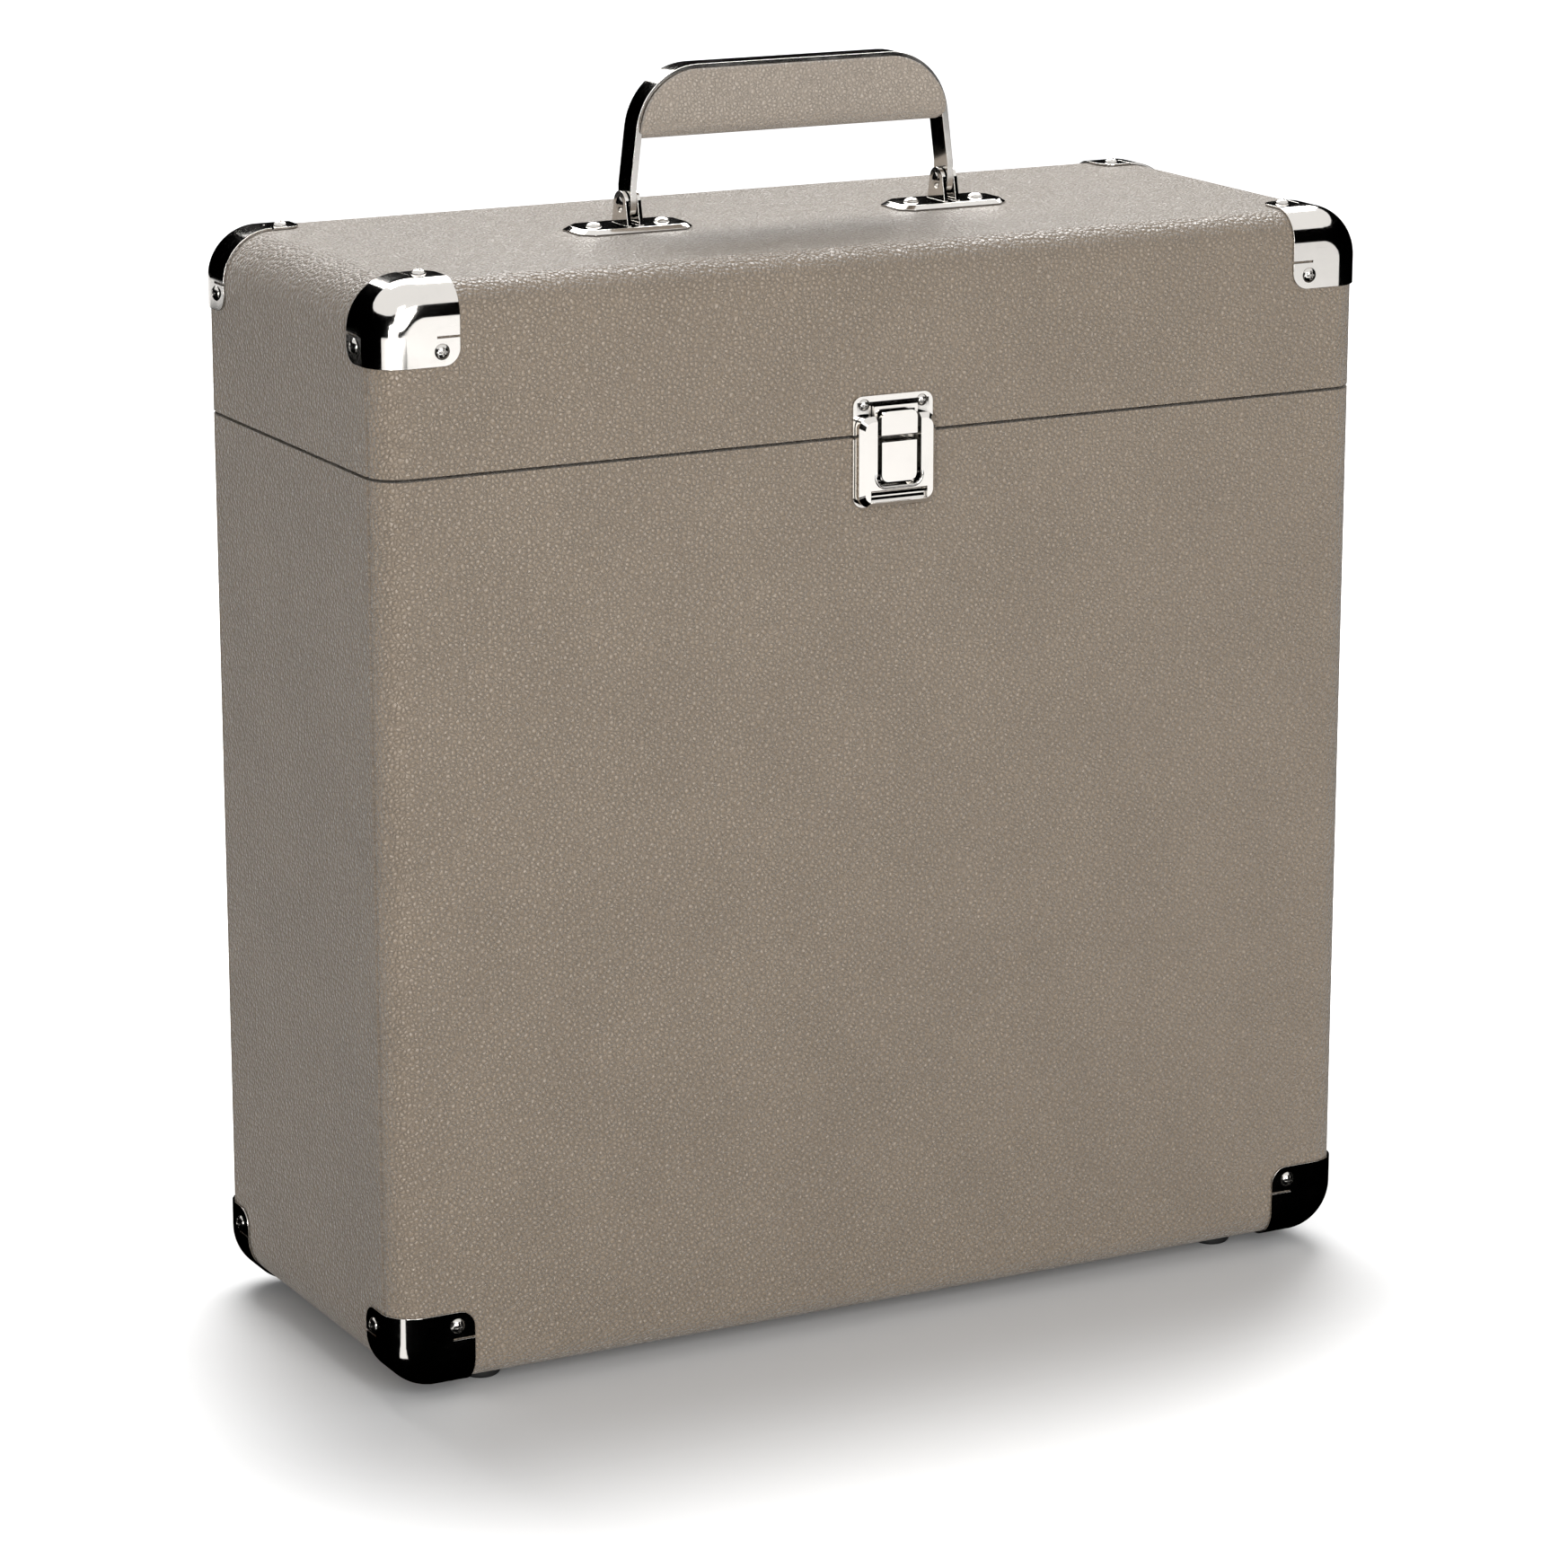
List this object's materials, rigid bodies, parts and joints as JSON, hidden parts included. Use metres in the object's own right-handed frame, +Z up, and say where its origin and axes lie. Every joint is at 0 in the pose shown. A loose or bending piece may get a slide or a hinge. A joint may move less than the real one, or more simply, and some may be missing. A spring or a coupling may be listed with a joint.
{
  "type": "record carrying case",
  "caption": "Upright record carrying case with a rear-hinged lid, a front draw latch, a folding top handle, metal corner protectors and rubber feet.",
  "frame": {"origin": "middle of the footprint, on the surface that the feet stand on", "axes": "+Z up, -Y out of the front with the latch, +X to the right as seen from the front"},
  "size_m": [0.3546, 0.1504, 0.4065],
  "materials": {
    "leatherette": "warm grey leatherette with a fine pebble grain, satin",
    "grip_leatherette": "warm grey leatherette with a fine pebble grain, satin",
    "board": "raw fibre board, assumed",
    "lining": "black flock lining, assumed",
    "nickel": "polished nickel plate on pressed steel",
    "fastener_nickel": "nickel-plated steel",
    "foot_rubber": "moulded black rubber",
    "grip_foam": "dense foam, assumed"
  },
  "bodies": {
    "case": {"body_board": "board", "body_covering": "leatherette", "body_lining": "lining", "body_corner_front_left": "nickel", "body_corner_front_right": "nickel", "body_corner_back_left": "nickel", "body_corner_back_right": "nickel", "body_corner_screws": "fastener_nickel", "foot_front_left": "foot_rubber", "foot_front_right": "foot_rubber", "foot_back_left": "foot_rubber", "foot_back_right": "foot_rubber", "foot_screws": "fastener_nickel", "hinge_left_body_leaf": "nickel", "hinge_right_body_leaf": "nickel", "hinge_left_pin": "fastener_nickel", "hinge_right_pin": "fastener_nickel", "hinge_body_rivets": "fastener_nickel", "latch_base_plate": "nickel", "latch_base_rivets": "fastener_nickel", "latch_link_pin": "fastener_nickel"},
    "lid": {"lid_board": "board", "lid_covering": "leatherette", "lid_lining": "lining", "lid_corner_front_left": "nickel", "lid_corner_front_right": "nickel", "lid_corner_back_left": "nickel", "lid_corner_back_right": "nickel", "lid_corner_screws": "fastener_nickel", "hinge_left_lid_leaf": "nickel", "hinge_right_lid_leaf": "nickel", "hinge_lid_rivets": "fastener_nickel", "latch_catch_plate": "nickel", "latch_catch_screws": "fastener_nickel", "handle_bracket_left": "nickel", "handle_bracket_right": "nickel", "handle_bracket_rivets": "fastener_nickel", "handle_pin_left": "fastener_nickel", "handle_pin_right": "fastener_nickel"},
    "handle": {"handle_strap": "nickel", "handle_grip_core": "grip_foam", "handle_grip_cover": "grip_leatherette"},
    "latch_link": {"latch_link": "nickel"},
    "latch_ring": {"latch_draw_ring": "nickel", "latch_ring_pin": "fastener_nickel"}
  },
  "joints": [
    {"name": "lid_hinge", "type": "hinge", "parent": "case", "child": "lid", "pos_m": [0, 0.0726, 0.296], "axis": [-1, 0, 0], "range_deg": [0, 95]},
    {"name": "handle_fold", "type": "hinge", "parent": "lid", "child": "handle", "pos_m": [0, 0, 0.363], "axis": [1, 0, 0], "range_deg": [-88, 88]},
    {"name": "latch_link_pivot", "type": "hinge", "parent": "case", "child": "latch_link", "pos_m": [0, -0.0726, 0.2934], "axis": [-1, 0, 0], "range_deg": [0, 95]},
    {"name": "latch_ring_pivot", "type": "hinge", "parent": "latch_link", "child": "latch_ring", "pos_m": [0, -0.0723, 0.2834], "axis": [-1, 0, 0], "range_deg": [-95, 0]}
  ],
  "couplings": [
    {"joint": "latch_ring_pivot", "follows": "latch_link_pivot", "ratio": -1}
  ]
}
